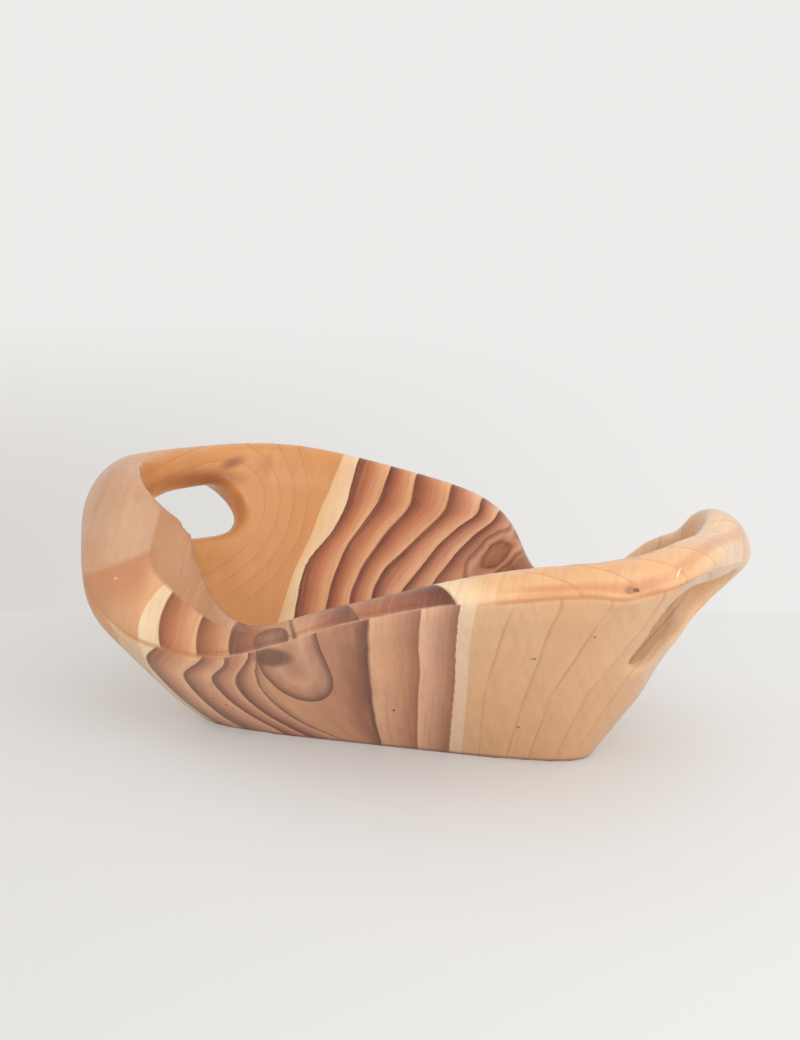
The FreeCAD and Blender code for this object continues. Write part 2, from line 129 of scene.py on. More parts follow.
# Pushes of the soft clay, in millimetres: middle, reach and move of each.
CLAY_PUSHES = (
    ((-152, -70, 72), (26, 26, 24), (-9, -5, -2)),
    ((-176, -45, 120), (12, 20, 14), (3, 1, 0)),
    ((-165, 10, 143), (22, 25, 14), (0, 0, -2)),
    ((-126, -40, 120), (12, 13, 13), (6, 2, 2)),
    ((-155, 22, 84), (18, 16, 9), (0, 0, 6)),
    ((-161, 38, 119), (10, 14, 8), (0, 0, 2)),
    ((58, 92, 70), (26, 26, 22), (-9, -3, 0)),
    ((154, 38, 116), (13, 16, 12), (0, 0, 7)),
    ((133, 61, 104), (10, 12, 10), (0, 0, -3)),
    ((200, -26, 112), (16, 30, 14), (-8, -2.5, 3)),
    ((192, -72, 108), (20, 22, 12), (-6, -1, 8)),
    ((188, -10, 136), (14, 16, 8), (2, 0.6, 2)),
    ((125, -128, 112), (38, 16, 10), (0, 0, 4)),
    ((158, -92, 78), (16, 16, 14), (9, 9, 0)),
    ((162, -28, 64), (14, 26, 12), (-9, -3, 0)),
    ((172, -30, 78), (10, 16, 6), (5, 1.6, 0)),
    ((150, -114, 117), (7, 7, 5), (1, -2, -1.6)),
    ((156, -110, 122), (3.5, 3.5, 3), (-1, 2.5, -1)),
    ((-138, 80, 97), (10, 10, 13), (3.6, 1.2, 0)),
    ((-117, -42, 105), (12, 14, 11), (3.6, 1.2, 0)),
)

# Hand holes in metres: middle of each, and the reach of the edge smoothing about it.
HAND_HOLES = ((-0.175, 0.034, 0.099), (0.175, -0.034, 0.087))
HOLE_REACH = (0.055, 0.078, 0.034)
FINE_CELL_SHARE = 0.68
MERGE_DISTANCE = 0.00002

# Half width of the blend between the near and far paint, in millimetres.
SIDE_BLEND = 16.0

# Stage, in metres.
VIEW_TARGET = (-0.02171, 0.0514, 0.1063)
VIEW_LENS = 104.05
VIEW_SENSOR = 36.0
TABLE_SIZE = 16.0
TABLE_EDGE_PAST_TARGET = 0.174

# Lamps: name, place, target, size, the power setting each takes and its share of it.
LAMPS = (
    ("overhead_softbox", (1.1, -0.7, 1.25), (0, 0, 0.05), (1.5, 1.2), "key_power", 1.0),
    ("front_fill", (0.7, -1.95, 0.6), (0, 0, 0.08), (1.8, 0.7), "fill_power", 1.0),
    ("side_fill", (1.7, -0.8, 0.4), (0.1, 0, 0.03), (1.1, 0.6), "fill_power", 0.35),
    ("rim_softbox", (-0.3, 1.0, 1.1), (0, 0, 0.1), (0.9, 0.35), "key_power", 0.12),
)


def linear(red, green, blue):
    """Linear colour from screen values of 0 to 255."""
    values = []
    for channel in (red, green, blue):
        share = channel / 255
        values.append(share / 12.92 if share <= 0.04045 else ((share + 0.055) / 1.055) ** 2.4)
    return (*values, 1.0)


# ---------------------------------------------------------------- settings


class BowlSettings(bpy.types.PropertyGroup):
    cell_size: FloatProperty(
        name="Cell size", description="Edge length of the faces of the finished bowl",
        default=0.00195, min=0.001, max=0.01, precision=5, unit="LENGTH")
    smoothing: IntProperty(
        name="Smoothing", description="Rounds of smoothing over the whole bowl", default=14, min=0, max=40)
    edge_smoothing: IntProperty(
        name="Edge smoothing", description="More rounds of smoothing along the rim and round the hand holes",
        default=30, min=0, max=80)
    edge_swell: FloatProperty(
        name="Edge swell", description="Clay added round the rim edges before they are smoothed",
        default=0.0014, min=0.0, max=0.004, precision=4, unit="LENGTH")
    tan: FloatVectorProperty(
        name="Tan", description="Painted colour of the plain ends of the bowl", subtype="COLOR", size=4,
        default=linear(212, 170, 130), min=0.0, max=1.0)
    cream: FloatVectorProperty(
        name="Cream", description="Painted colour of the pale strips beside the brown", subtype="COLOR",
        size=4, default=linear(220, 192, 160), min=0.0, max=1.0)
    roughness: FloatProperty(
        name="Roughness", description="Roughness of the glaze", default=0.34, min=0.0, max=1.0,
        subtype="FACTOR")
    coat: FloatProperty(
        name="Coat", description="Weight of the clear coat over the paint", default=0.35, min=0.0, max=1.0,
        subtype="FACTOR")


class StageSettings(bpy.types.PropertyGroup):
    table_colour: FloatVectorProperty(
        name="Table", description="Colour of the table top", subtype="COLOR", size=4,
        default=linear(220, 220, 219), min=0.0, max=1.0)
    backdrop_colour: FloatVectorProperty(
        name="Backdrop", description="Colour of the backdrop", subtype="COLOR", size=4,
        default=linear(238, 236, 234), min=0.0, max=1.0)
    key_power: FloatProperty(
        name="Key power", description="Power of the large overhead light", default=5.5, min=0.0,
        unit="POWER")
    fill_power: FloatProperty(
        name="Fill power", description="Power of the low light beside the camera", default=13.5, min=0.0,
        unit="POWER")
    world_strength: FloatProperty(
        name="World strength", description="Strength of the even light from all round", default=0.96,
        min=0.0)
    camera_turn: FloatProperty(
        name="Camera turn", description="Turn of the camera from the front towards the right handle",
        default=math.radians(18.03), subtype="ANGLE")
    camera_rise: FloatProperty(
        name="Camera rise", description="Angle of the camera above the table", default=math.radians(13.68),
        subtype="ANGLE")
    camera_distance: FloatProperty(
        name="Camera distance", description="Distance from the camera to its target", default=1.36599,
        unit="LENGTH")


# ---------------------------------------------------------------- form


def deselect_all():
    for thing in bpy.context.view_layer.objects:
        thing.select_set(False)


def activate(piece):
    deselect_all()
    piece.select_set(True)
    bpy.context.view_layer.objects.active = piece


def apply_modifier(piece, kind, name, **values):
    """Add one modifier to a piece and apply it."""
    modifier = piece.modifiers.new(name, kind)
    for key, value in values.items():
        setattr(modifier, key, value)
    activate(piece)
    bpy.ops.object.modifier_apply(modifier=name)


def merged_copy(node, name):
    """Copy of a CAD node with its doubled points merged."""
    source = frame["nodes"][node]
    copy = bpy.data.objects.new(name, source.data.copy())
    bpy.context.scene.collection.objects.link(copy)
    activate(copy)
    bpy.ops.object.mode_set(mode="EDIT")
    bpy.ops.mesh.select_all(action="SELECT")
    bpy.ops.mesh.remove_doubles(threshold=MERGE_DISTANCE)
    bpy.ops.object.mode_set(mode="OBJECT")
    copy.data.materials.clear()
    return copy


def bare_foot(mesh):
    """Give the second material to the faces that rest on the table."""
    normals = np.empty(len(mesh.polygons) * 3)
    centres = np.empty(len(mesh.polygons) * 3)
    mesh.polygons.foreach_get("normal", normals)
    mesh.polygons.foreach_get("center", centres)
    under = (normals.reshape(-1, 3)[:, 2] < -0.9) & (centres.reshape(-1, 3)[:, 2] < 0.001)
    mesh.polygons.foreach_set("material_index", under.astype(np.int32))
    mesh.update()


def keep_largest_shell(piece):
    """Drop any small loose shell that the remesh leaves inside the clay."""
    activate(piece)
    bpy.ops.object.mode_set(mode="EDIT")
    bpy.ops.mesh.select_all(action="SELECT")
    bpy.ops.mesh.separate(type="LOOSE")
    bpy.ops.object.mode_set(mode="OBJECT")
    parts = [thing for thing in bpy.context.selected_objects if thing.type == "MESH"]
    parts.sort(key=lambda thing: len(thing.data.vertices))
    name = piece.name
    for extra in parts[:-1]:
        bpy.data.objects.remove(extra)
    parts[-1].name = name
    return parts[-1]


def oval(turn, power):
    """Direction terms of an oval between an ellipse and a rectangle."""
    cosine, sine = np.cos(turn), np.sin(turn)
    radius = (np.abs(cosine) ** power + np.abs(sine) ** power) ** (-1 / power)
    return cosine * radius, sine * radius


def wall_lines(turn):
    """Foot point and rim point of the wall at each turn, in millimetres."""
    foot_x, foot_y = oval(turn, FOOT_POWER)
    rim_x, rim_y = oval(turn, RIM_POWER)
    foot = np.stack([foot_x * FOOT_HALF_LENGTH * (1 - FOOT_TAPER * foot_y / 2), foot_y * FOOT_HALF_DEPTH], -1)
    rim = np.stack([rim_x * RIM_HALF_LENGTH + RIM_SHIFT, rim_y * RIM_HALF_DEPTH], -1)
    return foot, rim


def smooth_round(turn_degrees, column):
    """Smooth closed curve through one column of the rim stations."""
    turns = np.array([row[0] for row in RIM_STATIONS], float)
    values = np.array([row[column] for row in RIM_STATIONS], float)
    count = len(turns)
    at = np.mod(turn_degrees, 360)
    index = np.searchsorted(turns, at, side="right") - 1
    after = (index + 1) % count
    before, beyond = (index - 1) % count, (index + 2) % count
    start = turns[index]
    step = np.mod(turns[after] - start, 360)
    back = np.mod(start - turns[before], 360)
    ahead = np.mod(turns[beyond] - turns[after], 360)
    share = (at - start) / step
    slope_in = (values[after] - values[before]) / (step + back) * step
    slope_out = (values[beyond] - values[index]) / (step + ahead) * step
    square, cube = share ** 2, share ** 3
    return (
        (2 * cube - 3 * square + 1) * values[index] + (cube - 2 * square + share) * slope_in
        + (3 * square - 2 * cube) * values[after] + (cube - square) * slope_out
    )


def nearest_turn(points):
    """Turn round the oval, in radians, of the wall line that stands over each point."""
    turns = np.radians(np.arange(0, 360, 0.5))
    foot, rim = wall_lines(turns)
    run = rim - foot
    run /= np.linalg.norm(run, axis=1)[:, None]
    found = np.empty(len(points))
    for start in range(0, len(points), 4000):
        part = points[start:start + 4000]
        gap_x = part[:, 0:1] - foot[None, :, 0]
        gap_y = part[:, 1:2] - foot[None, :, 1]
        aside = gap_x * run[:, 1] - gap_y * run[:, 0]
        along = gap_x * run[:, 0] + gap_y * run[:, 1]
        cost = np.abs(aside) + np.maximum(-30 - along, 0) * 3
        best = np.argmin(cost, axis=1)
        rows = np.arange(len(part))
        left, right = (best - 1) % len(turns), (best + 1) % len(turns)
        slope = (aside[rows, right] - aside[rows, left]) / 2
        nudge = np.clip(-aside[rows, best] / np.where(np.abs(slope) < 1e-6, 1e-6, slope), -0.6, 0.6)
        found[start:start + 4000] = turns[best] + nudge * math.radians(0.5)
    return found


def band_number(edges, x, height):
    """Place of each point among the painted boundaries: whole numbers fall on them, 0 on the second."""
    levels = np.arange(-10.0, 161.0)
    soft = np.hanning(13) / np.hanning(13).sum()
    bounds = []
    for edge in edges:
        along = np.interp(levels, [point[0] for point in edge], [point[1] for point in edge])
        along = np.convolve(np.pad(along, 6, mode="edge"), soft, mode="valid")
        bounds.append(np.interp(height, levels, along))
    bounds = np.stack(bounds)
    bounds = np.maximum.accumulate(bounds + np.arange(len(edges))[:, None] * 1e-3, axis=0)
    below = np.sum(bounds <= x[None, :], axis=0)
    low = np.clip(below - 1, 0, len(edges) - 2)
    columns = np.arange(len(x))
    first, second = bounds[low, columns], bounds[low + 1, columns]
    return low - 1 + np.clip((x - first) / (second - first), -6, 6)


def vertex_rows(mesh, name="co"):
    """Positions or normals of the vertices, one row each."""
    flat = np.empty(len(mesh.vertices) * 3)
    if name == "co":
        mesh.vertices.foreach_get("co", flat)
    else:
        mesh.vertex_normals.foreach_get("vector", flat)
    return flat.reshape(-1, 3)


def wall_layout(points):
    """Turn in degrees, height above the rim's chord and share across the rim, for points in millimetres."""
    turn = nearest_turn(points[:, :2])
    degrees = np.mod(np.degrees(turn), 360)
    z = points[:, 2]
    foot, rim = wall_lines(turn)
    run = rim - foot
    reach = np.linalg.norm(run, axis=1)
    lean = reach / RIM_LEVEL
    out = ((points[:, :2] - foot) * run).sum(axis=1) / reach
    ridge, crest, width = (smooth_round(degrees, column) for column in (1, 2, 3))
    chord = np.stack([-width, crest - ridge], -1)
    chord_length = np.linalg.norm(chord, axis=1)
    chord /= chord_length[:, None]
    from_ridge = np.stack([out - lean * ridge, z - ridge], -1)
    above = from_ridge[:, 0] * chord[:, 1] - from_ridge[:, 1] * chord[:, 0]
    across = (from_ridge * chord).sum(axis=1) / chord_length
    return degrees, above, across


def smooth_by_weight(piece, name, weight, rounds):
    """Smooth a piece, each point by its own share."""
    weight_group(piece, weight)
    apply_modifier(piece, "SMOOTH", name, factor=0.5, iterations=rounds, vertex_group="edges")
    piece.vertex_groups.clear()


def finish_surface(piece, settings):
    """Even out the last cells, most along the edges and not at the foot."""
    points = vertex_rows(piece.data)
    foot = np.clip((points[:, 2] - 0.002) / 0.005, 0, 1)
    smooth_by_weight(piece, "even", 0.3 * foot + 0.7 * edge_weights(points) * foot, settings.smoothing)


def settle(piece):
    """Even out the pushed clay a little, leaving the foot as it is."""
    height = vertex_rows(piece.data)[:, 2]
    smooth_by_weight(piece, "settle", np.clip((height - 0.003) / 0.01, 0, 1), 5)


def push_clay(points):
    """Points, in millimetres, moved by the soft pushes that make the form less regular."""
    moved = points.copy()
    for middle, reach, move in CLAY_PUSHES:
        gap = (moved - np.array(middle, float)) / np.array(reach, float)
        moved += np.exp(-(gap ** 2).sum(axis=1) / 2)[:, None] * np.array(move, float)
    return moved


def paint_layout(piece):
    """Push the clay about, and store where each point lies in the painted layout."""
    mesh = piece.data
    points = vertex_rows(mesh) * 1000
    degrees, above, across = wall_layout(points)
    points = push_clay(points)
    mesh.vertices.foreach_set("co", (points / 1000).ravel())
    mesh.update()
    x, z = points[:, 0], points[:, 2]
    near = band_number(NEAR_EDGES, x, z)
    far = band_number(FAR_EDGES, x, z)
    layers = {
        "near_band": near,
        "far_band": far,
        "above_chord": above,
        "rim_across": across,
        "rim_turn": degrees + 4.5 * np.clip(across, 0, 1),
    }
    for name, values in layers.items():
        attribute = mesh.attributes.new(name, "FLOAT", "POINT")
        attribute.data.foreach_set("value", values.astype(np.float32))


def edge_weights(points):
    """Share of the edge smoothing at each point: full along the rim and round the hand holes."""
    _, above, _ = wall_layout(points * 1000)
    weight = np.clip((above + 26) / 12, 0, 1)
    for middle in HAND_HOLES:
        gap = (points - np.array(middle)) / np.array(HOLE_REACH)
        weight = np.maximum(weight, np.clip((1.25 - np.linalg.norm(gap, axis=1)) / 0.3, 0, 1))
    return weight


def weight_group(piece, weight):
    """Vertex group with the given weights, in ten steps."""
    group = piece.vertex_groups.new(name="edges")
    steps = np.round(weight * 10).astype(int)
    for level in range(1, 11):
        chosen = np.nonzero(steps == level)[0]
        if len(chosen):
            group.add(chosen.tolist(), level / 10, "REPLACE")


def round_edges(piece, settings):
    """Swell the rim and hole edges a little, then smooth them to a hand-worked roundness."""
    mesh = piece.data
    points = vertex_rows(mesh)
    weight = edge_weights(points)
    points += vertex_rows(mesh, "normal") * (weight * settings.edge_swell)[:, None]
    mesh.vertices.foreach_set("co", points.ravel())
    mesh.update()
    smooth_by_weight(piece, "soft_edges", weight, settings.edge_smoothing)


# ---------------------------------------------------------------- material tools


class Sheet:
    """Short way to place and wire nodes in a tree."""

    def __init__(self, tree):
        self.tree = tree
        self.column = 0

    def node(self, kind, **values):
        node = self.tree.nodes.new(kind)
        self.column += 1
        node.location = (180 * (self.column % 12) - 1600, 900 - 160 * (self.column // 12))
        for key, value in values.items():
            setattr(node, key, value)
        return node

    def feed(self, socket, value):
        """Wire a socket, or set it to a constant."""
        if isinstance(value, bpy.types.NodeSocket):
            self.tree.links.new(value, socket)
        else:
            socket.default_value = value

    def math(self, operation, first, second=0.0):
        node = self.node("ShaderNodeMath", operation=operation)
        self.feed(node.inputs[0], first)
        self.feed(node.inputs[1], second)
        return node.outputs[0]

    def plus(self, first, second):
        return self.math("ADD", first, second)

    def minus(self, first, second):
        return self.math("SUBTRACT", first, second)

    def times(self, first, *others):
        """Product of all the values."""
        for other in others:
            first = self.math("MULTIPLY", first, other)
        return first

    def step(self, value, low, high, start=0.0, end=1.0):
        """Smooth step from start to end as value goes from low to high."""
        node = self.node("ShaderNodeMapRange", interpolation_type="SMOOTHSTEP")
        self.feed(node.inputs["Value"], value)
        node.inputs["From Min"].default_value = low
        node.inputs["From Max"].default_value = high
        node.inputs["To Min"].default_value = start
        node.inputs["To Max"].default_value = end
        return node.outputs["Result"]

    def window(self, value, low, high, soft):
        """One between low and high, nought outside."""
        rise = self.step(value, low - soft, low + soft)
        fall = self.step(value, high - soft, high + soft, 1.0, 0.0)
        return self.times(rise, fall)

    def attribute(self, name):
        return self.node("ShaderNodeAttribute", attribute_name=name).outputs["Fac"]

    def noise(self, vector, scale, detail=3.0, roughness=0.5):
        node = self.node("ShaderNodeTexNoise")
        self.feed(node.inputs["Vector"], vector)
        node.inputs["Scale"].default_value = scale
        node.inputs["Detail"].default_value = detail
        node.inputs["Roughness"].default_value = roughness
        return node.outputs["Fac"]

    def scaled(self, vector, scale):
        node = self.node("ShaderNodeMapping")
        self.feed(node.inputs["Vector"], vector)
        node.inputs["Scale"].default_value = scale
        return node.outputs["Vector"]

    def ramp(self, value, low, high, stops):
        """Colours at places along a value; a repeated place gives a hard edge."""
        place = self.node("ShaderNodeMapRange", clamp=True)
        self.feed(place.inputs["Value"], value)
        place.inputs["From Min"].default_value = low
        place.inputs["From Max"].default_value = high
        node = self.node("ShaderNodeValToRGB")
        self.feed(node.inputs["Fac"], place.outputs["Result"])
        ramp = node.color_ramp
        ramp.interpolation = "LINEAR"
        while len(ramp.elements) > 1:
            ramp.elements.remove(ramp.elements[-1])
        for number, (at, colour) in enumerate(stops):
            share = (at - low) / (high - low)
            element = ramp.elements[0] if number == 0 else ramp.elements.new(share)
            element.position = share
            element.color = colour if len(colour) == 4 else linear(*colour)
        return node.outputs["Color"]

    def mix(self, share, first, second):
        """First colour, with a share of the second over it."""
        node = self.node("ShaderNodeMix", data_type="RGBA")
        self.feed(node.inputs[0], share)
        self.feed(node.inputs[6], first)
        self.feed(node.inputs[7], second)
        return node.outputs[2]

    def tint(self, paint, share, colour):
        """Paint with a share of one screen colour laid over it."""
        return self.mix(share, paint, linear(*colour))

    def mix_value(self, share, first, second):
        node = self.node("ShaderNodeMix", data_type="FLOAT")
        self.feed(node.inputs[0], share)
        self.feed(node.inputs[2], first)
        self.feed(node.inputs[3], second)
        return node.outputs[0]

    def ellipse(self, x, z, middle, radii, tilt=0.0):
        """Distance from the middle of a tilted ellipse, one on its outline. All in millimetres."""
        cosine, sine = math.cos(math.radians(tilt)), math.sin(math.radians(tilt))
        gap_x = self.minus(x, middle[0])
        gap_z = self.minus(z, middle[1])
        along = self.plus(self.times(gap_x, cosine / radii[0]), self.times(gap_z, sine / radii[0]))
        aside = self.minus(self.times(gap_z, cosine / radii[1]), self.times(gap_x, sine / radii[1]))
        return self.math("SQRT", self.plus(self.times(along, along), self.times(aside, aside)))


def new_material(name):
    """An empty material with its sheet and its main shader."""
    material = bpy.data.materials.new(name)
    material.use_nodes = True
    material.node_tree.nodes.clear()
    sheet = Sheet(material.node_tree)
    output = sheet.node("ShaderNodeOutputMaterial")
    shader = sheet.node("ShaderNodeBsdfPrincipled")
    sheet.tree.links.new(shader.outputs[0], output.inputs[0])
    return material, sheet, shader


def add_bump(sheet, shader, height, strength, distance):
    """Fine relief on a shader from a height."""
    bump = sheet.node("ShaderNodeBump")
    bump.inputs["Strength"].default_value = strength
    bump.inputs["Distance"].default_value = distance
    sheet.feed(bump.inputs["Height"], height)
    sheet.feed(shader.inputs["Normal"], bump.outputs[0])


def clay_mottle_group():
    """Uneven tone, roughness and fine relief of hand-worked clay, from a position."""
    name = "clay_mottle"
    if name in bpy.data.node_groups:
        return bpy.data.node_groups[name]
    tree = bpy.data.node_groups.new(name, "ShaderNodeTree")
    tree.interface.new_socket("Vector", in_out="INPUT", socket_type="NodeSocketVector")
    tree.interface.new_socket("Size", in_out="INPUT", socket_type="NodeSocketFloat").default_value = 1.0
    for output in ("Tone", "Relief", "Pinholes"):
        tree.interface.new_socket(output, in_out="OUTPUT", socket_type="NodeSocketFloat")
    sheet = Sheet(tree)
    entry = sheet.node("NodeGroupInput")
    leave = sheet.node("NodeGroupOutput")
    scale = sheet.node("ShaderNodeVectorMath", operation="SCALE")
    sheet.feed(scale.inputs[0], entry.outputs["Vector"])
    sheet.feed(scale.inputs["Scale"], entry.outputs["Size"])
    place = scale.outputs[0]
    broad = sheet.noise(place, 14.0, 2.0)
    fine = sheet.noise(place, 160.0, 4.0, 0.6)
    sheet.feed(leave.inputs["Tone"],
               sheet.plus(sheet.times(broad, 0.7), sheet.times(fine, 0.3)))
    sheet.feed(leave.inputs["Relief"],
               sheet.plus(sheet.times(broad, 0.9), sheet.times(fine, 0.05)))
    cells = sheet.node("ShaderNodeTexVoronoi")
    sheet.feed(cells.inputs["Vector"], place)
    cells.inputs["Scale"].default_value = 42.0
    near = sheet.step(cells.outputs["Distance"], 0.02, 0.045, 1.0, 0.0)
    chosen = sheet.node("ShaderNodeSeparateColor")
    sheet.feed(chosen.inputs[0], cells.outputs["Color"])
    rare = sheet.math("GREATER_THAN", chosen.outputs[0], 0.93)
    sheet.feed(leave.inputs["Pinholes"], sheet.times(near, rare))
    return tree


def mottle(sheet, vector, size=1.0):
    """The mottle of fired clay at a place."""
    node = sheet.node("ShaderNodeGroup")
    node.node_tree = clay_mottle_group()
    sheet.feed(node.inputs["Vector"], vector)
    node.inputs["Size"].default_value = size
    return node


# Small marks on the near side: middle and radii in millimetres, tilt in degrees, colour.
SMALL_MARKS = (
    ((153.0, 121.0), (3.0, 1.8), -20.0, (164, 114, 82)),
    ((155.5, 120.6), (1.7, 1.0), -20.0, (96, 62, 48)),
    ((173.5, 127.0), (0.45, 2.3), -14.0, (234, 212, 186)),
    ((-150.0, 91.0), (1.2, 0.45), 20.0, (214, 180, 150)),
    ((101.0, 77.0), (1.5, 1.0), 0.0, (104, 136, 112)),
    ((133.0, 92.0), (0.9, 0.8), 0.0, (150, 96, 66)),
    ((83.0, 26.0), (0.9, 0.8), 0.0, (120, 78, 54)),
    ((15.0, 31.0), (1.1, 0.9), 0.0, (120, 60, 40)),
)

# Soft dark marks about the left hand hole on the far side, with a strength as well.
SOFT_MARKS = (
    ((-152.0, 120.0), (22.0, 6.5), -18.0, (140, 78, 40), 0.85),
    ((-136.0, 98.0), (5.0, 14.0), 8.0, (184, 100, 46), 0.6),
    ((-141.0, 126.0), (7.0, 4.0), 20.0, (140, 78, 42), 0.75),
    ((-124.0, 123.0), (5.0, 7.0), 0.0, (178, 110, 62), 0.5),
)


def band_stops(first, bands):
    """Ramp stops for bands that start dark at a hard edge and fade: each has three colours."""
    stops = []
    for number, (dark, middle, light) in enumerate(bands):
        start = first + number
        dusky = tuple(round(0.7 * d + 0.3 * m) for d, m in zip(dark, middle))
        stops += [(start, dark), (start + 0.14, dusky), (start + 0.48, middle), (start + 0.985, light)]
    return tuple(stops)


# Screen colours along the band number of the near wall and the far wall, and along the turn of the rim.
BAND_SPAN = (-1.1, 8.1)
RIM_SPAN = (218.0, 297.0)
# The browns of the near bands are partly painted sheen: lighter and greyer than the paint, standing in for
# the haze of reflected light on the glaze.
NEAR_PAINT = (
    (-1.02, (208, 158, 116)), (-1.0, (212, 186, 152)), (-0.01, (224, 198, 164)),
    *band_stops(0, (
        ((116, 78, 66), (186, 132, 102), (224, 176, 138)), ((108, 74, 64), (186, 132, 104), (222, 170, 134)),
        ((100, 68, 60), (178, 124, 98), (216, 166, 132)), ((94, 64, 58), (174, 124, 100), (212, 164, 132)),
    )),
    (4.0, (98, 66, 58)), (4.1, (204, 154, 118)), (4.62, (190, 136, 104)), (4.88, (142, 94, 74)),
    (4.99, (78, 48, 40)),
    (5.0, (222, 174, 138)), (5.5, (202, 150, 118)), (5.985, (150, 96, 74)),
    (6.0, (226, 180, 146)), (6.985, (142, 90, 70)),
    (7.0, "cream"), (7.98, "cream"), (8.0, "tan"),
)
# Bands 3 to 5 of the far wall carry lighter paint, partly painted light that makes up for the lamp light
# falling off towards the right of the far wall.
FAR_PAINT = (
    (-1.02, (204, 142, 84)), (-1.0, (224, 184, 134)), (-0.01, (232, 202, 162)),
    *band_stops(0, (
        ((98, 38, 20), (184, 110, 70), (226, 170, 124)), ((94, 36, 20), (186, 112, 74), (226, 172, 126)),
        ((94, 36, 22), (186, 114, 78), (226, 172, 128)), ((92, 38, 24), (196, 128, 94), (232, 182, 140)),
        ((96, 42, 28), (192, 126, 96), (228, 178, 140)), ((98, 44, 30), (184, 120, 92), (220, 168, 132)),
    )),
    (6.0, (108, 52, 36)), (6.985, (190, 132, 98)), (7.0, (222, 192, 156)), (8.0, (226, 188, 148)),
)
RIM_PAINT = (
    (218, (192, 152, 122)), (224.9, (204, 158, 116)), (225.2, (224, 198, 162)), (229.1, (220, 192, 154)),
    (229.3, (110, 56, 40)), (232, (170, 106, 72)), (236.8, (214, 162, 120)),
    (237.0, (112, 60, 44)), (240, (166, 104, 72)), (244.3, (206, 154, 112)),
    (244.6, (98, 54, 42)), (250, (158, 96, 68)), (259.2, (200, 146, 110)),
    (259.5, (80, 48, 40)), (260.6, (208, 156, 118)), (264, (190, 134, 102)), (268, (152, 94, 70)),
    (272.7, (84, 48, 40)), (273.0, (176, 116, 86)), (280, (150, 90, 68)), (288.4, (92, 48, 38)),
    (288.8, (228, 202, 166)), (292, (226, 192, 152)), (296, (220, 172, 126)),
)


# Screen colours from the middle of the lobe, the knot and the dark patch on the rim outwards. The lobe's
# colours are partly painted sheen, lighter and greyer for the haze of reflected light over it.
LOBE_PAINT = ((0.0, (184, 134, 106)), (0.45, (204, 156, 124)), (0.78, (180, 130, 104)), (1.0, (98, 68, 58)))
KNOT_PAINT = (
    (0.0, (176, 116, 86)), (0.3, (160, 98, 72)), (0.42, (116, 62, 44)), (0.5, (184, 124, 94)),
    (0.66, (212, 158, 124)), (0.8, (164, 104, 78)), (0.94, (118, 64, 46)), (1.02, (186, 126, 96)),
    (1.3, (194, 132, 100)),
)
PATCH_PAINT = ((0.0, (160, 112, 90)), (1.0, (104, 70, 60)))


class Layout:
    """Places, painted layout and brush wobble that every part of the decoration reads."""

    def __init__(self, sheet):
        self.place = sheet.node("ShaderNodeTexCoord").outputs["Object"]
        split = sheet.node("ShaderNodeSeparateXYZ")
        sheet.feed(split.inputs[0], self.place)
        self.x, self.y, self.z = (sheet.times(output, 1000.0) for output in split.outputs)
        slow = sheet.minus(sheet.noise(self.place, 22.0, 2.0), 0.5)
        quick = sheet.minus(sheet.noise(self.place, 110.0, 2.0), 0.5)
        self.wobble = sheet.plus(sheet.times(slow, 0.34), sheet.times(quick, 0.012))
        self.near_band = sheet.plus(sheet.attribute("near_band"), sheet.times(self.wobble, 0.45))
        self.far_band = sheet.plus(sheet.attribute("far_band"), sheet.times(self.wobble, 0.8))
        self.rim_turn = sheet.plus(sheet.attribute("rim_turn"), sheet.times(self.wobble, 3.0))
        self.across = sheet.attribute("rim_across")
        self.above = sheet.attribute("above_chord")
        self.far_side = sheet.step(self.y, -SIDE_BLEND, SIDE_BLEND)
        self.near_side = sheet.step(self.y, SIDE_BLEND, -SIDE_BLEND)
        self.band = sheet.mix_value(self.far_side, self.near_band, self.far_band)
        self.faintness = sheet.step(sheet.noise(self.place, 30.0, 1.0), 0.3, 0.7, 0.35, 1.0)
        slanted = sheet.minus(self.rim_turn, sheet.times(self.across, 3.3))
        self.before_cream = sheet.step(slanted, 225.0, 225.3, 1.0, 0.0)


def ring_lines(sheet, number, first, last):
    """Thin lines at the whole numbers from first to last, with a slight shade after each."""
    gap = sheet.math("ABSOLUTE", sheet.minus(number, sheet.math("ROUND", number)))
    line = sheet.step(gap, 0.01, 0.06, 1.0, 0.0)
    shade = sheet.times(sheet.step(sheet.math("FRACT", number), 0.1, 1.0, 0.34, 0.0), 0.6)
    return sheet.times(sheet.math("MAXIMUM", line, shade), sheet.window(number, first, last, 0.05))


def near_wall_paint(sheet, at, settings):
    """Bands of the near wall, a rounded lobe, a dark smudge, and ring lines on the tan end."""
    named = {"tan": tuple(settings.tan), "cream": tuple(settings.cream)}
    stops = [(place, named.get(colour, colour)) for place, colour in NEAR_PAINT]
    paint = sheet.ramp(at.near_band, *BAND_SPAN, stops)
    lobe = sheet.ellipse(at.x, sheet.math("MINIMUM", at.z, 54.0), (-35.0, 54.0), (20.5, 23.0), -6.0)
    lobe = sheet.plus(lobe, sheet.times(at.wobble, 0.25))
    paint = sheet.mix(sheet.step(lobe, 0.99, 1.02, 1.0, 0.0), paint, sheet.ramp(lobe, 0.0, 1.1, LOBE_PAINT))
    smudge = sheet.ellipse(at.x, at.z, (-46.0, 62.5), (14.5, 7.5), 14.0)
    smudge = sheet.plus(smudge, sheet.times(at.wobble, 0.8))
    paint = sheet.tint(paint, sheet.step(smudge, 0.55, 1.1, 0.9, 0.0), (96, 66, 58))
    lines = ring_lines(sheet, at.near_band, 8.5, 13.5)
    return sheet.tint(paint, sheet.times(lines, at.faintness, 0.52), (180, 112, 66))


